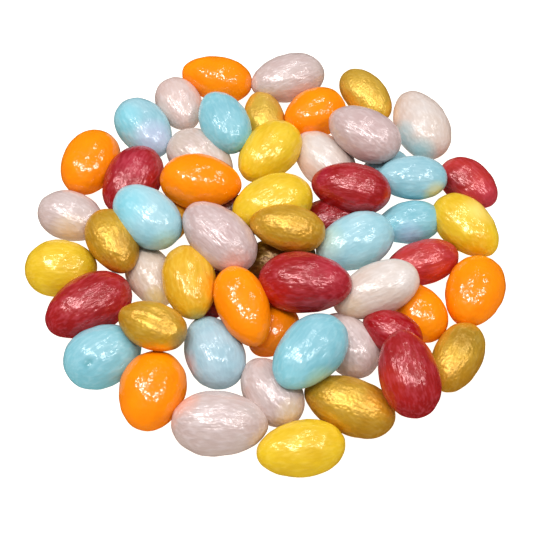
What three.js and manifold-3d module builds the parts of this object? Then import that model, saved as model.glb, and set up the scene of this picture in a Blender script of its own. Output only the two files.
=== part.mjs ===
// A loose heap of sugar-coated almonds, poured out on a flat surface: one course of almonds lies on
// the surface with gaps between them, and the others lean on it or lie across it.
//
// Millimetres and degrees, +Z up. The origin is the middle of the heap's footprint, on the surface.
// +X is to the right and +Y to the back, as the heap is seen from its front.

import * as THREE from 'three';
import { mergeVertices } from 'three/addons/utils/BufferGeometryUtils.js';
import Module from 'manifold-3d';

// ---------------------------------------------------------------------------------------------
// Driving sizes
// ---------------------------------------------------------------------------------------------

const FLATNESS = 0.8; // an almond's thickness as a share of its width
const BLUNTNESS = 0.1; // how much fuller than an even egg the blunt end is, and the other end leaner
const SEAT_DEPTH = 0.3; // how far the lowest almonds are worn flat, so that they rest on small spots
const BEAD_GRIP = 1.6; // how far a bead of sugar reaches past the two points that it joins
const NEAR = 8; // almonds whose nearest corners are further apart than this don't touch
const FIRM_BITE = 2; // cubic millimetres that two almonds share where they hold without a bead
const SURFACE_SPAN = 400; // wider than the heap
const SURFACE_DEPTH = 10;
const SIDES = 12; // facets round an almond
const BANDS = 6; // facets from end to end

const COLOURS = {
  orange: 0xff9100,
  yellow: 0xf0cd32,
  gold: 0xbe962d,
  red: 0xaa1928,
  blue: 0x96d2e1,
  pearl: 0xd7c8cd,
  white: 0xe1dad4,
};

// ---------------------------------------------------------------------------------------------
// How the almonds lie. Each row is one almond:
// colour, x, y, heading of the blunt end, length, width, and for one that is off the surface the
// height of its middle and, where it slopes, how many degrees its blunt end is raised.
// ---------------------------------------------------------------------------------------------

const RIM = [
  // from the back, clockwise as seen from above
  ['orange', -19, 77.5, -20, 28, 19],
  ['pearl', 8, 77.5, 20, 29, 20],
  ['gold', 38, 70, 120, 27, 16],
  ['white', 57.5, 53.5, -75, 32, 20],
  ['red', 72.5, 26, 130, 24, 17],
  ['yellow', 69.5, 6, 123, 28.5, 19],
  ['orange', 69.5, -22, 70, 28, 19.5],
  ['gold', 61.5, -47, 65, 27, 16],
  ['gold', 26, -65, -25, 30, 18.5],
  ['yellow', 10.5, -80, 10, 27.5, 18],
  ['pearl', -14.5, -72, 178, 30, 21],
  ['orange', -36, -60.5, 80, 27.5, 21],
  ['blue', -52.5, -47.5, -150, 26, 21],
  ['red', -59, -28, 35, 31, 21],
  ['yellow', -69.5, -12.5, 180, 24.5, 20.5],
  ['pearl', -68.5, 10.5, 155, 24.5, 18.5],
  ['orange', -64, 34.5, 75, 28.5, 20.5],
  ['blue', -45.5, 52, 120, 29, 19],
  ['pearl', -33, 65, 110, 25, 17],
];

const INNER_FLOOR = [
  ['gold', -1, 59.5, -80, 24, 15],
  ['orange', 18, 59, 35, 25, 20],
  ['white', 21, 36.5, -55, 28, 19],
  ['blue', 50, 8.5, 15, 23, 16],
  ['red', 53, -9, 20, 27, 16],
  ['orange', 50.5, -29.5, -65, 23, 17],
  ['pearl', 26.5, -42.5, -60, 25, 18],
  ['orange', 2, -36.5, 60, 21, 16],
  ['pearl', 1.5, -60, -60, 26, 18],
  ['blue', -17, -45.5, -70, 27, 19],
  ['white', -39, -15, 115, 25, 16],
  ['pearl', -24, 37, 135, 28, 20],
];

const BURIED = [
  // glimpsed between the ones on top of them
  ['gold', -37, 7, 45, 25, 16],
  ['red', -13, 12, -25, 25, 16],
  ['red', 22, 9, 10, 25, 17],
  ['gold', 4, -8, 10, 26, 17],
  ['red', -17, -22, 50, 24, 15],
  ['blue', 42, 31, 50, 24, 15],
];

const LEANING = [
  ['red', -48, 25.5, 70, 30, 20, 9],
  ['blue', -15.5, 49, -70, 29, 18, 14],
  ['pearl', 35, 40.5, -40, 29, 20, 17],
  ['blue', 51.5, 24, 0, 25, 17, 12],
  ['red', 44, -59.5, -80, 29, 19, 17, -10],
  ['gold', -36.5, -41, -25, 23.5, 16, 16],
  ['gold', -52, -5, 115, 27, 17, 13],
];

const ON_TOP = [
  ['yellow', 1, 37, 55, 29, 20, 11],
  ['yellow', 2, 9, 25, 29, 21, 16],
  ['orange', -23, 19.5, 170, 29, 21, 15],
  ['blue', -41, 3.5, -50, 29, 20, 16],
  ['pearl', -16, -6, -48, 31, 20, 17, -5],
  ['yellow', -25.5, -22, 100, 29, 18, 13],
  ['orange', -7.5, -33, 110, 29, 17, 15, 10],
  ['gold', 7, -4, -15, 26, 17, 19],
  ['red', 29.5, 17.5, -15, 28, 19.5, 14],
  ['blue', 30, -4.5, 30, 29, 20, 12],
  ['red', 12.5, -25, 170, 31, 21.5, 17, -7],
  ['white', 36, -25.5, 20, 30, 18.5, 13.5, 11],
  ['red', 40.5, -40.5, -35, 21, 15, 11],
  ['blue', 13.5, -51, 52, 30, 20, 16],
];

// ---------------------------------------------------------------------------------------------
// Joining and cutting closed shapes
// ---------------------------------------------------------------------------------------------

const wasm = await Module();
wasm.setup();

function toSolid(geometry) {
  const bare = geometry.clone();
  bare.deleteAttribute('normal');
  bare.deleteAttribute('uv');
  const welded = mergeVertices(bare);
  return new wasm.Manifold(new wasm.Mesh({
    numProp: 3,
    vertProperties: new Float32Array(welded.attributes.position.array),
    triVerts: new Uint32Array(welded.index.array),
  }));
}

function toGeometry(solid) {
  const mesh = solid.getMesh();
  const geometry = new THREE.BufferGeometry();
  geometry.setAttribute('position', new THREE.BufferAttribute(new Float32Array(mesh.vertProperties), 3));
  geometry.setIndex(new THREE.BufferAttribute(new Uint32Array(mesh.triVerts), 1));
  geometry.computeVertexNormals();
  return geometry;
}

// ---------------------------------------------------------------------------------------------
// The pieces of the heap
// ---------------------------------------------------------------------------------------------

// An egg lying along X, its blunt end at +X, a little flatter than it is wide.
function almondGeometry(length, width) {
  const geometry = new THREE.SphereGeometry(1, SIDES, BANDS).rotateZ(-Math.PI / 2);
  const points = geometry.attributes.position;
  for (let i = 0; i < points.count; i += 1) {
    const fullness = 1 + BLUNTNESS * points.getX(i);
    points.setXYZ(
      i,
      points.getX(i) * length / 2,
      points.getY(i) * fullness * width / 2,
      points.getZ(i) * fullness * width * FLATNESS / 2,
    );
  }
  return geometry;
}

// Laid down where its row says. One with no height of its own lies flat on the surface.
function laidAlmond([, x, y, heading, length, width, height, slope = 0]) {
  const middle = height ?? width * FLATNESS / 2 - SEAT_DEPTH;
  const { degToRad } = THREE.MathUtils;
  return almondGeometry(length, width)
    .rotateY(degToRad(-slope))
    .rotateZ(degToRad(heading))
    .translate(x, y, middle);
}

// The two points, one on each shape, that lie nearest to each other.
function nearestPoints(shapeA, shapeB) {
  const best = { distance: Infinity, a: new THREE.Vector3(), b: new THREE.Vector3() };
  const a = new THREE.Vector3();
  const b = new THREE.Vector3();
  for (let i = 0; i < shapeA.attributes.position.count; i += 1) {
    a.fromBufferAttribute(shapeA.attributes.position, i);
    for (let j = 0; j < shapeB.attributes.position.count; j += 1) {
      b.fromBufferAttribute(shapeB.attributes.position, j);
      const distance = a.distanceTo(b);
      if (distance < best.distance) {
        best.distance = distance;
        best.a.copy(a);
        best.b.copy(b);
      }
    }
  }
  return best;
}

// The fewest and shortest joins between neighbours that hold the whole heap together. Almonds that
// already bite into each other count as joined.
function joinsBetween(shapes, solids) {
  const joins = [];
  shapes.forEach((shape, i) => {
    shapes.slice(i + 1).forEach((other, k) => {
      const to = i + 1 + k;
      const nearest = nearestPoints(shape, other);
      const near = nearest.distance < NEAR;
      const bites = near && solids[i].intersect(solids[to]).volume() > FIRM_BITE;
      joins.push({ from: i, to, bites, ...nearest });
    });
  });
  joins.sort((p, q) => q.bites - p.bites || p.distance - q.distance);
  const cluster = shapes.map((_, i) => i);
  const needed = joins.filter(({ from, to }) => {
    const [old, kept] = [cluster[from], cluster[to]];
    cluster.forEach((name, i) => {
      cluster[i] = name === old ? kept : name;
    });
    return old !== kept;
  });
  return needed.filter(({ bites }) => !bites);
}

// A bead of sugar in the corner where two almonds touch.
function sugarBead({ distance, a, b }) {
  const middle = a.clone().add(b).multiplyScalar(0.5);
  const bead = new THREE.OctahedronGeometry(distance / 2 + BEAD_GRIP, 0);
  return bead.translate(middle.x, middle.y, middle.z);
}

// All that is below the surface that the heap lies on.
function belowSurface() {
  const block = new THREE.BoxGeometry(SURFACE_SPAN, SURFACE_SPAN, SURFACE_DEPTH);
  return block.translate(0, 0, -SURFACE_DEPTH / 2);
}

// ---------------------------------------------------------------------------------------------
// The heap
// ---------------------------------------------------------------------------------------------

function heapGeometry(rows) {
  const almonds = rows.map(laidAlmond);
  const solids = almonds.map(toSolid);
  const beads = joinsBetween(almonds, solids).map(sugarBead);
  const fused = [...solids, ...beads.map(toSolid)].reduce((whole, piece) => whole.add(piece));
  const seated = fused.subtract(toSolid(belowSurface()));
  const geometry = toGeometry(seated);
  geometry.computeBoundingBox();
  const middle = geometry.boundingBox.getCenter(new THREE.Vector3());
  return geometry.translate(-middle.x, -middle.y, 0);
}

// The heap is one shape, so it takes the mean colour of its almonds.
function meanColour(rows) {
  const sum = new THREE.Color(0, 0, 0);
  rows.forEach(([colour]) => sum.add(new THREE.Color(COLOURS[colour])));
  return sum.multiplyScalar(1 / rows.length);
}

const rows = [...RIM, ...INNER_FLOOR, ...BURIED, ...LEANING, ...ON_TOP];

const heap = new THREE.Mesh(
  heapGeometry(rows),
  new THREE.MeshStandardMaterial({ color: meanColour(rows), roughness: 0.3, metalness: 0.1 }),
);
heap.name = 'almond_heap';

const group = new THREE.Group();
group.add(heap);

export default group;
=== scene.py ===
# %% [markdown]
# # A heap of sugared almonds
#
# Almonds in a shell of coloured, polished sugar, poured out on a white surface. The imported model
# brings the heap as one plain fused solid. This script puts the real sweets in its place, one piece
# for each colour of shell, and gives each colour its own finish.

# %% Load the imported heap
import math
import random
from dataclasses import dataclass

import bmesh
import bpy
from mathutils import Matrix, Vector, noise
from mathutils.geometry import intersect_point_line


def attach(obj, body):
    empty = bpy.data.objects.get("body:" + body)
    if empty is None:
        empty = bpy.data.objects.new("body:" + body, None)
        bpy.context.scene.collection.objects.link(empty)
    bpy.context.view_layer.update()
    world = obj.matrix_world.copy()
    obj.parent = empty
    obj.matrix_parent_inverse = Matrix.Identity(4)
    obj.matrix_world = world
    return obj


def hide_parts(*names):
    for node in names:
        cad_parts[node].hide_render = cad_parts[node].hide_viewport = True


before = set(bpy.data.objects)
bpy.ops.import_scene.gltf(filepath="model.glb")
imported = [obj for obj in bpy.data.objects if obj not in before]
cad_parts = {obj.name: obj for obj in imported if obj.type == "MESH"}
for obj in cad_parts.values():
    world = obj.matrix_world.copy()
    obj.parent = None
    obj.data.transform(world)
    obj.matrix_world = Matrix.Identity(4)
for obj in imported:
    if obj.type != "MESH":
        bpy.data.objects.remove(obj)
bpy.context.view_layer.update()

# %% [markdown]
# ## The camera
#
# The heap is seen from the front and from well above, from less than half a metre away, so the
# almonds in front look a little larger than those at the back. A camera can be turned by angles,
# but it is easier to get right by aiming it: the direction from the camera to its target is turned
# into a rotation.

# %% Aim the camera
MM = 0.001
TARGET = Vector((0, -12, 8)) * MM
ELEVATION = math.radians(54)
DISTANCE = 400 * MM
LENS_MM = 79.7
SENSOR_MM = 36

towards_camera = Vector((0, -math.cos(ELEVATION), math.sin(ELEVATION)))
camera = bpy.data.objects.new("camera", bpy.data.cameras.new("camera"))
camera.data.lens = LENS_MM
camera.data.sensor_width = SENSOR_MM
camera.location = TARGET + towards_camera * DISTANCE
camera.rotation_euler = (-towards_camera).to_track_quat("-Z", "Y").to_euler()
bpy.context.collection.objects.link(camera)
bpy.context.scene.camera = camera
print("the camera stands at", [round(c, 3) for c in camera.location])

# %% [markdown]
# ## How the almonds lie
#
# A physics simulation could pour the heap, but it would never fall the way this one fell. So each
# almond has a row of its own: its colour, where its middle is, where its blunt end points, its
# length and its width, in millimetres and degrees. An almond off the surface also says how high its
# middle is, and a sloping one how far its blunt end is raised. The rows are those of the packed
# solid, so every sweet sits where its plain stand-in was, to within half a millimetre.

# %% List the almonds
@dataclass(frozen=True)
class Almond:
    colour: str
    x: float
    y: float
    heading: float
    length: float
    width: float
    height: float | None = None
    slope: float = 0
    # some tones are painted shade: darker colours for almonds that lie deep in shade
    tone: str | None = None  # where its dye isn't quite that of its colour


RIM = [  # from the back, clockwise as seen from above
    Almond("orange", -19, 77.5, -20, 28, 19),
    Almond("pearl", 8, 77.5, 20, 29, 20),
    Almond("gold", 38, 70, 120, 27, 16, tone="pale_gold"),
    Almond("white", 57.5, 53.5, -75, 32, 20),
    Almond("red", 72.5, 26, 130, 24, 17, tone="coral"),
    Almond("yellow", 69.5, 6, 123, 28.5, 19),
    Almond("orange", 69.5, -22, 70, 28, 19.5),
    Almond("gold", 61.5, -47, 65, 27, 16),
    Almond("gold", 26, -65, -25, 30, 18.5),
    Almond("yellow", 10.5, -80, 10, 27.5, 18),
    Almond("pearl", -14.5, -72, 178, 30, 21),
    Almond("orange", -36, -60.5, 80, 27.5, 21),
    Almond("blue", -52.5, -47.5, -150, 26, 21, tone="teal"),
    Almond("red", -59, -28, 35, 31, 21),
    Almond("yellow", -69.5, -12.5, 180, 24.5, 20.5),
    Almond("pearl", -68.5, 10.5, 155, 24.5, 18.5),
    Almond("orange", -64, 34.5, 75, 28.5, 20.5),
    Almond("blue", -45.5, 52, 120, 29, 19),
    Almond("pearl", -33, 65, 110, 25, 17, tone="blush"),
]
INNER_FLOOR = [
    Almond("gold", -1, 59.5, -80, 24, 15, tone="pale_gold"),
    Almond("orange", 18, 59, 35, 25, 20),
    Almond("white", 21, 36.5, -55, 28, 19),
    Almond("blue", 50, 8.5, 15, 23, 16, tone="teal"),
    Almond("red", 53, -9, 20, 27, 16, tone="coral"),
    Almond("orange", 50.5, -29.5, -65, 23, 17),
    Almond("pearl", 26.5, -42.5, -60, 25, 18),
    Almond("orange", 2, -36.5, 60, 21, 16, tone="painted_shade_amber"),
    Almond("pearl", 1.5, -60, -60, 26, 18),
    Almond("blue", -17, -45.5, -70, 27, 19, tone="powder"),
    Almond("white", -39, -15, 115, 25, 16, tone="cream"),
    Almond("pearl", -24, 37, 135, 28, 20, tone="beige"),
]
BURIED = [  # glimpsed between the ones on top of them
    Almond("gold", -37, 7, 45, 25, 16),
    Almond("red", -13, 12, -25, 25, 16, tone="painted_shade_umber"),
    Almond("red", 22, 9, 10, 25, 17, tone="painted_shade_garnet"),
    Almond("gold", 4, -8, 10, 26, 17, tone="painted_shade_bronze"),
    Almond("red", -17, -22, 50, 24, 15, tone="painted_shade_garnet"),
    Almond("blue", 42, 31, 50, 24, 15),
]
LEANING = [
    Almond("red", -48, 25.5, 70, 30, 20, 9),
    Almond("blue", -15.5, 49, -70, 29, 18, 14, tone="teal"),
    Almond("pearl", 35, 40.5, -40, 29, 20, 17, tone="mauve"),
    Almond("blue", 51.5, 24, 0, 25, 17, 12),
    Almond("red", 44, -59.5, -80, 29, 19, 17, -10),
    Almond("gold", -36.5, -41, -25, 23.5, 16, 16),
    Almond("gold", -52, -5, 115, 27, 17, 13),
]
ON_TOP = [
    Almond("yellow", 1, 37, 55, 29, 20, 11),
    Almond("yellow", 2, 9, 25, 29, 21, 16),
    Almond("orange", -23, 19.5, 170, 29, 21, 15),
    Almond("blue", -41, 3.5, -50, 29, 20, 16, tone="ice"),
    Almond("pearl", -16, -6, -48, 31, 20, 17, -5, tone="mauve"),
    Almond("yellow", -25.5, -22, 100, 29, 18, 13, tone="honey"),
    Almond("orange", -7.5, -33, 110, 29, 17, 15, 10),
    Almond("gold", 7, -4, -15, 26, 17, 19),
    Almond("red", 29.5, 17.5, -15, 28, 19.5, 14),
    Almond("blue", 30, -4.5, 30, 29, 20, 12, tone="ice"),
    Almond("red", 12.5, -25, 170, 31, 21.5, 17, -7),
    Almond("white", 36, -25.5, 20, 30, 18.5, 13.5, 11),
    Almond("red", 40.5, -40.5, -35, 21, 15, 11, tone="crimson"),
    Almond("blue", 13.5, -51, 52, 30, 20, 16, tone="teal"),
]
HEAP = RIM + INNER_FLOOR + BURIED + LEANING + ON_TOP
print(len(HEAP), "almonds")

# %% [markdown]
# ## One almond
#
# Under its sugar an almond is a flattened egg. An icosphere is the right start for it, because its
# vertices are spread evenly and it has no poles for the polish to gather at. Scaling makes it
# long, and moving each vertex out or in by how far it lies towards the blunt end makes it an egg.
#
# A sugar shell is built up in a turning pan, and it is never quite even. Three sizes of noise move
# the vertices: a wide one bends the whole outline, a middle one makes the lumps and flats, and a
# small one adds the finest lumps that the mesh can hold.

# %% Shape an egg
FLATNESS = 0.8  # thickness as a share of width
BLUNTNESS = 0.1  # how much fuller the blunt end is, and the other end leaner
SEAT_DEPTH = 0.3  # mm by which the lowest almonds are worn flat
DETAIL = 5  # subdivisions of the icosphere
UNEVENNESS = [  # size of the lumps and how far they stand out, in mm
    (11, 0.25),
    (3.4, 0.18),
    (1.8, 0.05),
]


def shell_point(direction, almond, place_in_noise):
    """Where the shell is, in that direction from the almond's middle, with the almond along X."""
    fullness = 1 + BLUNTNESS * direction.x
    width = almond.width * fullness
    even = Vector((
        direction.x * almond.length / 2,
        direction.y * width / 2,
        direction.z * width * FLATNESS / 2,
    ))
    lumps = sum(rise * noise.noise(even / size + place_in_noise) for size, rise in UNEVENNESS)
    return even + direction * lumps


def resting_height(almond):
    """How high the middle is: as the row says, or lying flat on the surface."""
    if almond.height is not None:
        return almond.height
    return almond.width * FLATNESS / 2 - SEAT_DEPTH


print("a shell is uneven by about", sum(rise for _, rise in UNEVENNESS), "mm")

# %% [markdown]
# ## The dyes and their painted shade
#
# Each colour of sugar has one dye, but no two batches come out quite alike, so some almonds have a
# tone of their own. A few tones are painted shade: amber, bronze, garnet and umber are darker
# colours for almonds that lie deep in shade. An almond looks a little different on its crown and
# lower down, so each dye is two colours, one for the crown and one for the foot. The foot's richer
# colour is painted shade: it stands for how the lower half of an almond looks in the shade, where
# light bounces between the almonds.
#
# Colours are easiest to name as they look on a screen, from 0 to 255. Shaders count light instead,
# so the names are converted once, here.

# %% Mix the dyes and their painted shade
def linear(red, green, blue):
    """A screen colour, 0 to 255, as the light that it stands for."""
    shares = [c / 255 for c in (red, green, blue)]
    lights = [c / 12.92 if c < 0.04045 else ((c + 0.055) / 1.055) ** 2.4 for c in shares]
    return (*lights, 1)


@dataclass(frozen=True)
class DyeAndShade:
    crown: tuple  # on top of an almond
    # the foot's colour is painted shade: the richer colour that a lower half takes in the shade
    foot: tuple  # on its lower half


DYES_AND_SHADE = {
    "orange": DyeAndShade(linear(242, 139, 2), linear(250, 134, 0)),
    "yellow": DyeAndShade(linear(226, 188, 48), linear(233, 192, 12)),
    "gold": DyeAndShade(linear(214, 168, 50), linear(210, 150, 6)),
    "red": DyeAndShade(linear(160, 32, 34), linear(170, 12, 10)),
    "blue": DyeAndShade(linear(150, 187, 198), linear(149, 202, 213)),
    "pearl": DyeAndShade(linear(198, 179, 175), linear(206, 184, 174)),
    "white": DyeAndShade(linear(208, 196, 190), linear(214, 184, 168)),
    # painted shade: amber is orange darkened for an almond that lies in shade
    "painted_shade_amber": DyeAndShade(linear(224, 120, 0), linear(230, 116, 0)),
    "honey": DyeAndShade(linear(220, 170, 44), linear(226, 168, 8)),
    "pale_gold": DyeAndShade(linear(226, 184, 70), linear(218, 164, 24)),
    # painted shade: bronze is gold darkened for a buried almond seen only in shadow
    "painted_shade_bronze": DyeAndShade(linear(120, 80, 10), linear(90, 50, 2)),
    "coral": DyeAndShade(linear(194, 58, 54), linear(184, 28, 20)),
    "crimson": DyeAndShade(linear(168, 2, 14), linear(150, 2, 10)),
    # painted shade: garnet and umber are darkened colours for buried almonds seen only in shadow
    "painted_shade_garnet": DyeAndShade(linear(140, 6, 12), linear(110, 4, 4)),
    "painted_shade_umber": DyeAndShade(linear(74, 34, 14), linear(46, 16, 6)),
    "teal": DyeAndShade(linear(134, 184, 196), linear(131, 200, 211)),
    "ice": DyeAndShade(linear(159, 196, 206), linear(160, 210, 220)),
    "powder": DyeAndShade(linear(164, 188, 199), linear(167, 198, 211)),
    "mauve": DyeAndShade(linear(194, 170, 168), linear(198, 172, 166)),
    "beige": DyeAndShade(linear(198, 182, 172), linear(208, 188, 172)),
    "blush": DyeAndShade(linear(210, 187, 180), linear(216, 188, 176)),
    "cream": DyeAndShade(linear(200, 182, 168), linear(210, 182, 158)),
}


def mixed(first, second, share):
    return tuple(a + (b - a) * share for a, b in zip(first, second))


def dyed_and_shaded(dye_and_light, facing_up):
    """The colour on a part of an almond that faces up (1), sideways (0) or down (-1): the crown's
    colour on top, turning into the foot's painted shade towards the sides and below.
    """
    return mixed(dye_and_light.foot, dye_and_light.crown, min(max(facing_up, 0), 1))


print(len(DYES_AND_SHADE), "dyes")

# %% [markdown]
# ## Stains and painted light
#
# Where almonds touch, they show some of each other's colour. Some of these spots are marks in the
# sugar itself, but most are painted light: the colour that a neighbouring almond reflects onto a
# shell, painted shade where one almond shades another and in a pit, a painted highlight on one
# yellow crown and a painted pink sheen on some red ones. That could be painted on by hand, but a
# list of soft spots is easier to read and to change. A spot is a place in the heap, in millimetres,
# how far it reaches, its colour and how well it covers. It is strongest in the middle and fades out
# towards its edge.

# %% List the stains and the painted light
@dataclass(frozen=True)
class StainOrPaintedLight:
    on: str  # the colour of the almonds that it can be on
    x: float
    y: float
    z: float
    reach: float
    dye_and_light: tuple
    cover: float  # 0 to 1


STAINS_AND_PAINTED_LIGHT = [
    StainOrPaintedLight("gold", -37, -49, 14, 6.5, linear(255, 185, 5), 0.95),
    StainOrPaintedLight("gold", -31, -50, 15, 6, linear(255, 185, 5), 0.95),
    StainOrPaintedLight("gold", -27, -47, 16, 5, linear(130, 135, 105), 0.6),
    StainOrPaintedLight("gold", -52.5, -16.5, 14, 5, linear(220, 130, 30), 0.6),
    StainOrPaintedLight("gold", 8.5, -13, 16, 6, linear(185, 100, 20), 0.5),
    # painted shade: the right side of a gold almond, darkened where the blue one on top shades it
    StainOrPaintedLight("gold", -46, -8, 12, 9, linear(140, 106, 18), 0.7),
    StainOrPaintedLight("gold", 37, -66, 12, 8, linear(240, 150, 15), 0.6),
    StainOrPaintedLight("gold", 65, -43, 12, 7, linear(165, 130, 40), 0.5),
    StainOrPaintedLight("yellow", -22.5, -37, 12, 5.5, linear(140, 150, 80), 0.6),
    StainOrPaintedLight("yellow", -18.5, -26, 16, 6, linear(245, 150, 15), 0.6),
    # painted shade, olive from the gold almond beside it, on the right side of a yellow one
    StainOrPaintedLight("yellow", -59, -11, 12, 7, linear(190, 160, 25), 0.7),
    StainOrPaintedLight("yellow", 73.5, -5, 9, 7, linear(230, 165, 5), 0.7),
    # painted highlight: a pale patch on the crown of a yellow almond
    StainOrPaintedLight("yellow", 74, 8, 14, 7, linear(250, 225, 130), 0.7),
    # painted shade: the darker left side of a red almond
    StainOrPaintedLight("red", 66, 23, 10, 8, linear(140, 12, 16), 0.8),
    StainOrPaintedLight("red", 78, 17, 8, 8, linear(190, 60, 80), 0.6),
    StainOrPaintedLight("red", 42, 13, 15, 4, linear(220, 80, 20), 0.7),
    StainOrPaintedLight("red", 18, 20, 17, 6, linear(175, 40, 70), 0.5),
    StainOrPaintedLight("red", 3.5, -32, 18, 7, linear(205, 30, 10), 0.7),
    # painted pink sheen on the crown of a red almond
    StainOrPaintedLight("red", 20, -26, 22, 10, linear(180, 45, 65), 0.6),
    StainOrPaintedLight("red", 51, -56, 20, 4, linear(225, 110, 15), 0.7),
    StainOrPaintedLight("red", 37, -65, 19, 7, linear(205, 50, 10), 0.6),
    StainOrPaintedLight("red", 58, -15, 7, 6, linear(215, 70, 10), 0.7),
    # painted pink sheen on the crown of a red almond
    StainOrPaintedLight("red", -48, 27, 17, 9, linear(185, 45, 75), 0.5),
    StainOrPaintedLight("blue", -47, 3, 22, 9, linear(125, 200, 214), 0.7),
    StainOrPaintedLight("blue", -34, -9, 16, 6, linear(185, 212, 190), 0.7),
    StainOrPaintedLight("blue", -52, 52, 12, 8, linear(120, 205, 220), 0.6),
    StainOrPaintedLight("blue", -40, 43, 12, 9, linear(185, 188, 212), 0.9),
    StainOrPaintedLight("blue", -25, -51, 9, 5, linear(215, 180, 180), 0.6),
    # painted shade: the dark inside of the pit in a blue almond
    StainOrPaintedLight("blue", -56, -54, 14, 2, linear(60, 140, 145), 0.8),
    StainOrPaintedLight("blue", 59, 17, 12, 5, linear(222, 215, 150), 0.8),
    StainOrPaintedLight("blue", 20, -8, 16, 8, linear(195, 212, 195), 0.8),
    StainOrPaintedLight("blue", 49, 1, 8, 6, linear(165, 185, 215), 0.6),
    StainOrPaintedLight("blue", 16.5, -62, 16, 6, linear(190, 212, 150), 0.6),
    StainOrPaintedLight("pearl", -10, -18, 18, 6, linear(225, 160, 140), 0.6),
    StainOrPaintedLight("pearl", -68, 1, 9, 8, linear(228, 200, 165), 0.8),
    StainOrPaintedLight("pearl", -25, -68, 13, 6, linear(232, 165, 145), 0.7),
    StainOrPaintedLight("pearl", 8, -70, 10, 6, linear(225, 200, 155), 0.6),
    StainOrPaintedLight("white", 50, 46, 9, 7, linear(150, 200, 212), 0.8),
    StainOrPaintedLight("white", 56, 39, 8, 7, linear(140, 198, 208), 0.8),
    StainOrPaintedLight("white", -36, -26, 8, 6, linear(225, 200, 120), 0.7),
    StainOrPaintedLight("white", 27.5, -34, 14, 6, linear(232, 200, 150), 0.4),
    StainOrPaintedLight("white", 14, 30, 7, 7, linear(235, 195, 185), 0.5),
]


def nearness(distance, reach):
    """How strong a spot is there: 1 in its middle, and 0 at its edge and beyond."""
    share = distance / reach
    return max(0, 1 - share * share)


def stained_and_lit(sugar, place, stains_and_light):
    """The colour at a place in the heap, with the spots near it mixed in: real marks, painted
    reflections, painted shade and painted highlights.
    """
    for spot in stains_and_light:
        distance = (place - Vector((spot.x, spot.y, spot.z))).length
        sugar = mixed(sugar, spot.dye_and_light, spot.cover * nearness(distance, spot.reach))
    return sugar


print(len(STAINS_AND_PAINTED_LIGHT), "stains_and_light")

# %% [markdown]
# ## Dents
#
# Noise gives every shell its lumps, but a few marks are large enough to tell one almond from the
# others: two grooves side by side in a gold one and a pit in a blue one. Each is a line from one
# place in the heap to another, and a pit is a very short line. Where the shell is near the line it
# is pushed in, towards the middle of its almond.

# %% List the dents
@dataclass(frozen=True)
class Dent:
    on: str  # the colour of the almonds that it can be on
    start: tuple
    end: tuple
    reach: float
    depth: float


DENTS = [
    Dent("gold", (-41, -40, 22), (-30, -45.5, 21), 1.8, 0.55),
    Dent("gold", (-40, -37.5, 22), (-33, -41, 22.5), 1.6, 0.4),
    Dent("blue", (-55.5, -54, 15), (-55, -54, 15), 1.5, 0.6),
]


def dented(place, middle, dents):
    """A place on a shell, moved towards the almond's middle by the dents near it."""
    for dent in dents:
        nearest, share = intersect_point_line(place, Vector(dent.start), Vector(dent.end))
        if not 0 <= share <= 1:
            nearest = Vector(dent.end if share > 1 else dent.start)
        push = nearness((place - nearest).length, dent.reach)
        place = place + (middle - place).normalized() * dent.depth * push
    return place


print(len(DENTS), "dents")

# %% [markdown]
# ## All almonds of a colour
#
# The almonds of one colour are made in one mesh, because they share a finish. A finish that has
# streaks along each almond can't be painted in the heap's own coordinates, as every almond points
# another way. So each vertex keeps two notes: where it is on its own almond, which the finish reads
# in place of object coordinates, and the colour of the sugar there, with the painted shade and
# painted light that the dyes and spots add.

# %% Lay the almonds
SEED = 7
NOISE_SPAN = 900  # mm; each almond takes its lumps from a place of its own in the noise


def dent_dye_and_light(mesh, verts, almond, middle):
    sugar = mesh.verts.layers.float_color["sugar"]
    dye_and_light = DYES_AND_SHADE[almond.tone or almond.colour]
    stains_and_light = [spot for spot in STAINS_AND_PAINTED_LIGHT if spot.on == almond.colour]
    dents = [dent for dent in DENTS if dent.on == almond.colour]
    for vert in verts:
        vert.co = dented(vert.co, middle, dents)
        facing_up = (vert.co.z - middle.z) / (almond.width * FLATNESS / 2)
        vert[sugar] = stained_and_lit(dyed_and_shaded(dye_and_light, facing_up), vert.co, stains_and_light)
        vert.co.z = max(vert.co.z, 0)  # worn flat where it rests


def lay_almond(mesh, almond, draw):
    """Adds an almond to the mesh: shapes it along X, lays it down, then dents it and colours it,
    painted shade and painted light included.
    """
    place_in_noise = Vector([draw.uniform(-NOISE_SPAN, NOISE_SPAN) for _ in range(3)])
    grain = mesh.verts.layers.float_vector["grain"]
    verts = bmesh.ops.create_icosphere(mesh, subdivisions=DETAIL, radius=1)["verts"]
    for vert in verts:
        vert.co = shell_point(vert.co.normalized(), almond, place_in_noise)
        vert[grain] = vert.co + place_in_noise
    slope = Matrix.Rotation(math.radians(-almond.slope), 3, "Y")
    heading = Matrix.Rotation(math.radians(almond.heading), 3, "Z")
    middle = Vector((almond.x, almond.y, resting_height(almond)))
    bmesh.ops.rotate(mesh, verts=verts, matrix=heading @ slope)
    bmesh.ops.translate(mesh, verts=verts, vec=middle)
    dent_dye_and_light(mesh, verts, almond, middle)


def make_piece(colour, draw):
    mesh = bmesh.new()
    mesh.verts.layers.float_vector.new("grain")
    mesh.verts.layers.float_color.new("sugar")
    almonds = [almond for almond in HEAP if almond.colour == colour]
    for almond in almonds:
        lay_almond(mesh, almond, draw)
    bmesh.ops.scale(mesh, verts=mesh.verts, vec=(MM, MM, MM))
    for face in mesh.faces:
        face.smooth = True
    data = bpy.data.meshes.new(f"{colour}_almonds")
    mesh.to_mesh(data)
    mesh.free()
    piece = bpy.data.objects.new(f"{colour}_almonds", data)
    bpy.context.collection.objects.link(piece)
    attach(piece, "root")
    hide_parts("almond_heap")
    print(piece.name, "has", len(almonds), "almonds and", len(data.polygons), "faces")
    return piece


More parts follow.
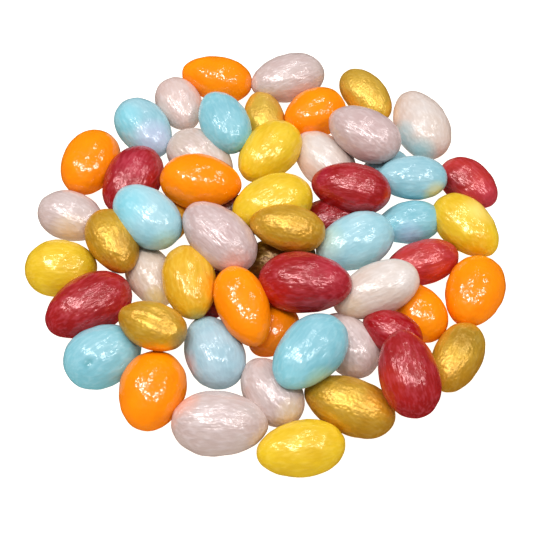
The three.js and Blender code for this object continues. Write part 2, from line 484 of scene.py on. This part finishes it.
draw = random.Random(SEED)
COLOURS = ["orange", "yellow", "gold", "red", "blue", "pearl", "white"]
pieces = {colour: make_piece(colour, draw) for colour in COLOURS}

# %% [markdown]
# ## Writing shaders as sums
#
# A finish is a tree of nodes, and one made by hand is long to read as code. Two small helpers keep
# it short. `Value` wraps a socket, so that `mask * 0.3 + lumps` adds the Math nodes by itself.
# `Finish.node` makes any node in one call, and the methods after it name the few kinds of node
# that a finish needs more than once.

# %% Helpers for the finishes
class Value:
    """What a node gives. One that is a number can be used in sums."""

    def __init__(self, finish, socket):
        self.finish = finish
        self.socket = socket

    def _math(self, operation, first, second):
        return self.finish.node("ShaderNodeMath", {"operation": operation}, {0: first, 1: second})

    def __add__(self, other):
        return self._math("ADD", self, other)

    def __radd__(self, other):
        return self._math("ADD", other, self)

    def __mul__(self, other):
        return self._math("MULTIPLY", self, other)

    def __rmul__(self, other):
        return self._math("MULTIPLY", other, self)


class Finish:
    """A material and the nodes in it."""

    def __init__(self, name):
        self.material = bpy.data.materials.new(name)
        self.material.use_nodes = True
        self.tree = self.material.node_tree
        self.tree.nodes.clear()

    def node(self, kind, settings=(), inputs=(), output=0):
        """Makes a node. Its settings are set first, then the values or links of its sockets."""
        made = self.tree.nodes.new(kind)
        for name, value in dict(settings).items():
            setattr(made, name, value)
        for name, value in dict(inputs).items():
            if isinstance(value, Value):
                self.tree.links.new(value.socket, made.inputs[name])
            else:
                made.inputs[name].default_value = value
        return Value(self, made.outputs[output]) if made.outputs else None

    def note(self, name, output):
        """What the vertices of a piece have noted under that name."""
        return self.node("ShaderNodeAttribute", {"attribute_name": name}, output=output)

    def noise(self, place, scale, detail):
        return self.node(
            "ShaderNodeTexNoise", {}, {"Vector": place, "Scale": scale, "Detail": detail}
        )

    def spread(self, value, lowest, highest):
        """A number, stretched so that lowest becomes 0 and highest becomes 1."""
        return self.node(
            "ShaderNodeMapRange", {}, {"Value": value, "From Min": lowest, "From Max": highest}
        )

    def times(self, first, second):
        """Two colours or places, multiplied part by part."""
        return self.node("ShaderNodeVectorMath", {"operation": "MULTIPLY"}, {0: first, 1: second})

    def blend(self, share, first, second):
        """The first colour with a share of the second over it."""
        return self.node(
            "ShaderNodeMix",
            {"data_type": "RGBA"},
            {"Factor": share, "A": first, "B": second},
            output="Result",
        )

    def surface(self, shader):
        """Makes the shader the one that the material shows, and gives the material."""
        self.node("ShaderNodeOutputMaterial", {}, {"Surface": shader})
        return self.material


print("the helpers are", Value.__name__, "and", Finish.__name__)

# %% [markdown]
# ## The sugar finishes
#
# All shells share one build: dyed sugar with darker blotches, pale streaks that the pan has rubbed
# into it along the almond, a fine pebbling, and a layer of wax over it all. The colour under the
# blotches is the one that each vertex notes, so it brings its painted shade and painted light with
# it. What makes gold look like gold and orange like boiled sugar is how metallic the sugar is, how
# strong the streaks are and how glossy the sugar and the wax are, so those are the numbers that
# each colour states.
#
# The pebbling and the streaks bend only the reflections in the sugar, because the wax has filled
# them level. So each almond gets two highlights, one over the other: a broken one from the sugar
# and a smooth, soft one from the wax.

# %% List the shells
@dataclass(frozen=True)
class Shell:
    pale: tuple  # screen colour of the rubbed streaks
    deep: tuple  # how much red, green and blue light the darker blotches keep
    streaks: float  # how strong the rubbed streaks are, 0 to 1
    pebbles: float  # how strong the pebbling is, 0 to 1
    pebble_mm: float  # how far apart the pebbles are
    metallic: float
    roughness: float  # of the sugar
    gloss: float  # how strongly the sugar reflects, 0.5 for plain sugar
    wax: float  # how much of it there is, 0 to 1
    wax_roughness: float


SHELLS = {
    "orange": Shell(
        pale=(255, 165, 20), deep=(0.97, 0.88, 0.8), streaks=0.1, pebbles=0.4, pebble_mm=1.3,
        metallic=0.0, roughness=0.15, gloss=0.5, wax=0.1, wax_roughness=0.4,
    ),
    "yellow": Shell(
        pale=(252, 220, 95), deep=(0.92, 0.85, 0.6), streaks=0.5, pebbles=0.3, pebble_mm=1.4,
        metallic=0.05, roughness=0.2, gloss=0.45, wax=0.2, wax_roughness=0.42,
    ),
    "gold": Shell(
        pale=(236, 200, 110), deep=(0.85, 0.76, 0.6), streaks=0.5, pebbles=0.5, pebble_mm=1.0,
        metallic=0.35, roughness=0.36, gloss=0.5, wax=0.1, wax_roughness=0.3,
    ),
    "red": Shell(
        pale=(210, 85, 100), deep=(0.82, 0.62, 0.62), streaks=0.7, pebbles=0.35, pebble_mm=1.3,
        metallic=0.1, roughness=0.25, gloss=0.65, wax=0.15, wax_roughness=0.42,
    ),
    "blue": Shell(
        pale=(190, 225, 232), deep=(0.8, 0.9, 0.92), streaks=0.45, pebbles=0.25, pebble_mm=1.4,
        metallic=0.0, roughness=0.2, gloss=0.5, wax=0.18, wax_roughness=0.42,
    ),
    "pearl": Shell(
        pale=(232, 218, 220), deep=(0.94, 0.88, 0.88), streaks=0.65, pebbles=0.3, pebble_mm=1.3,
        metallic=0.05, roughness=0.25, gloss=0.7, wax=0.25, wax_roughness=0.42,
    ),
    "white": Shell(
        pale=(238, 232, 230), deep=(0.96, 0.91, 0.86), streaks=0.5, pebbles=0.25, pebble_mm=1.3,
        metallic=0.0, roughness=0.25, gloss=0.7, wax=0.2, wax_roughness=0.42,
    ),
}
print(len(SHELLS), "shells, the most metallic is", max(SHELLS, key=lambda c: SHELLS[c].metallic))

# %% [markdown]
# ## The pattern on a shell
#
# The blotches are a wide noise and the pebbling is a fine one. The streaks are noise too, read at
# places that are squeezed together along the almond, which draws its spots out into lines. One
# noise for the streaks both colours the sugar and raises it, so the pale lines also stand out.

# %% Finish the shells
BLOTCHES_PER_MM = 0.12
BLOTCH_RANGE = (0.35, 0.65)  # the noise at which a blotch is darkest, and at which it ends
STREAKS_PER_MM = 0.9
STREAK_STRETCH = 0.3  # scale of the streaks along the almond, against across it
STREAK_RANGE = (0.45, 0.7)  # the noise at which a streak begins, and at which it is palest
STREAK_COVER = 0.4  # how far the palest streak hides the dye
BUMP_MM = 0.35  # height of the streaks and pebbles where they are at full strength


def sugar_colour(finish, shell, on_shell, streaks):
    """The noted colour, its painted shade and painted light included, with its darker blotches and
    pale streaks.
    """
    sugar = finish.note("sugar", "Color")
    blotches = finish.noise(on_shell, BLOTCHES_PER_MM, detail=2)
    between_blotches = finish.spread(blotches, *BLOTCH_RANGE)
    body = finish.blend(between_blotches, finish.times(sugar, shell.deep), sugar)
    rubbed = finish.spread(streaks, *STREAK_RANGE)
    return finish.blend(rubbed * (shell.streaks * STREAK_COVER), body, linear(*shell.pale))


def sugar_finish(colour, shell):
    finish = Finish(f"{colour}_sugar")
    on_shell = finish.note("grain", "Vector")
    along = finish.times(on_shell, (STREAK_STRETCH, 1, 1))
    streaks = finish.noise(along, STREAKS_PER_MM, detail=1)
    pebbles = finish.noise(on_shell, 1 / shell.pebble_mm, detail=0)
    height = streaks * shell.streaks + pebbles * shell.pebbles
    shader = finish.node(
        "ShaderNodeBsdfPrincipled",
        {},
        {
            "Base Color": sugar_colour(finish, shell, on_shell, streaks),
            "Metallic": shell.metallic,
            "Roughness": shell.roughness,
            "Specular IOR Level": shell.gloss,
            "Coat Weight": shell.wax,
            "Coat Roughness": shell.wax_roughness,
            "Normal": finish.node(
                "ShaderNodeBump", {}, {"Height": height, "Distance": BUMP_MM * MM}
            ),
        },
    )
    return finish.surface(shader)


for colour, piece in pieces.items():
    piece.data.materials.append(sugar_finish(colour, SHELLS[colour]))
    print(piece.name, "is finished as", piece.data.materials[0].name)

# %% [markdown]
# ## The surface
#
# The heap lies on a surface so bright that it shows as plain white and lights the sweets from
# below. A floor that glows a little does that without a lamp under the table. It is kept out of the
# reflections, or the polish would show a white rim round every almond.

# %% Add the floor
FLOOR_SIZE = 10  # metres
FLOOR_GLOW = 1.1
floor_mesh = bmesh.new()
bmesh.ops.create_grid(floor_mesh, x_segments=1, y_segments=1, size=FLOOR_SIZE / 2)
floor_data = bpy.data.meshes.new("floor")
floor_mesh.to_mesh(floor_data)
floor_mesh.free()
floor = bpy.data.objects.new("floor", floor_data)
bpy.context.collection.objects.link(floor)
floor.visible_glossy = False

white_table = Finish("white_table")
floor.data.materials.append(white_table.surface(white_table.node(
    "ShaderNodeBsdfPrincipled",
    {},
    {
        "Base Color": linear(150, 150, 150),
        "Roughness": 0.6,
        "Emission Color": linear(255, 249, 242),
        "Emission Strength": FLOOR_GLOW,
    },
)))
print("the floor is", FLOOR_SIZE, "m wide")

# %% [markdown]
# ## The light
#
# Small soft boxes hang over the heap, the brightest ones on the left. They are what the broken
# highlights on every almond are a reflection of. One large lamp would be simpler, but its highlight
# would be one plain patch. A pale sky fills the shadows between the almonds, and it too is kept out
# of the reflections. The Standard view adds no tone curve of its own to the colours.

# %% Light the heap
SOFT_BOXES = [  # metres to the right of the heap, metres behind it, watts
    (-0.38, 0.10, 2.2),
    (-0.16, -0.12, 2.0),
    (-0.70, 0.36, 1.8),
    (-0.10, 0.34, 0.9),
    (0.22, -0.14, 1.4),
    (0.55, -0.08, 1.5),
    (0.58, 0.36, 1.0),
    (0.12, 0.65, 0.8),
]
BOX_HEIGHT = 0.9  # metres
BOX_SIDE = 0.12
SKY_STRENGTH = 0.47


def add_soft_box(right, behind, watts):
    lamp = bpy.data.lights.new("soft_box", "AREA")
    lamp.shape = "SQUARE"
    lamp.size = BOX_SIDE
    lamp.energy = watts
    box = bpy.data.objects.new("soft_box", lamp)
    box.location = (right, behind, BOX_HEIGHT)
    box.rotation_euler = (-box.location).to_track_quat("-Z", "Y").to_euler()
    bpy.context.collection.objects.link(box)


for soft_box in SOFT_BOXES:
    add_soft_box(*soft_box)

world = bpy.data.worlds.new("pale_room")
world.use_nodes = True
sky = world.node_tree.nodes["Background"]
sky.inputs["Color"].default_value = (1, 1, 1, 1)
sky.inputs["Strength"].default_value = SKY_STRENGTH
world.cycles_visibility.glossy = False
bpy.context.scene.world = world
bpy.context.scene.view_settings.view_transform = "Standard"
print(len(SOFT_BOXES), "soft boxes")
